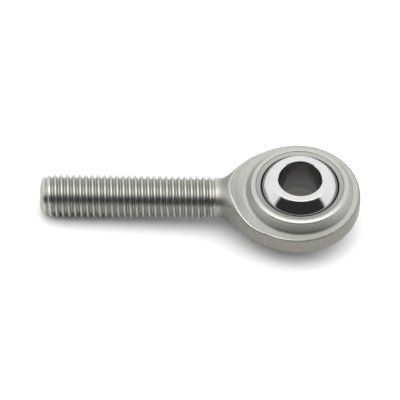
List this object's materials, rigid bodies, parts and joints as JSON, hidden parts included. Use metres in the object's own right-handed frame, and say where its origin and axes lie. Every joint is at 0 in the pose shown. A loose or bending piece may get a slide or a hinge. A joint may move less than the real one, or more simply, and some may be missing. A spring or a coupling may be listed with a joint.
{
  "type": "rod end bearing",
  "caption": "Male rod end bearing: a forged eye on a threaded shank holds a bored, chromed ball that turns and tilts in its race.",
  "frame": {"origin": "centre of the flat end face of the threaded shank; the ball's centre is 38.1 mm along +X", "axes": "+X along the shank from its end to the ball, +Z along the ball's bore when it stands square, +Y to the left of the shank seen from above"},
  "size_m": [0.047, 0.0184, 0.0094],
  "materials": {
    "forged_steel": "satin, blasted and zinc plated",
    "race_steel": "fine turned",
    "liner": "matt low-friction liner",
    "ball_chrome": "polished hard chrome"
  },
  "bodies": {
    "housing": {"rod_end_body": "forged_steel", "outer_race": "race_steel"},
    "liner": {"bearing_liner": "liner"},
    "ball": {"ball": "ball_chrome"}
  },
  "joints": [
    {"name": "ball_turn", "type": "hinge", "parent": "housing", "child": "liner", "pos_m": [0.0381, 0, 0], "axis": [0, 0, 1], "continuous": true},
    {"name": "ball_tilt", "type": "hinge", "parent": "liner", "child": "ball", "pos_m": [0.0381, 0, 0], "axis": [1, 0, 0], "range_deg": [-13.5, 13.5]}
  ]
}
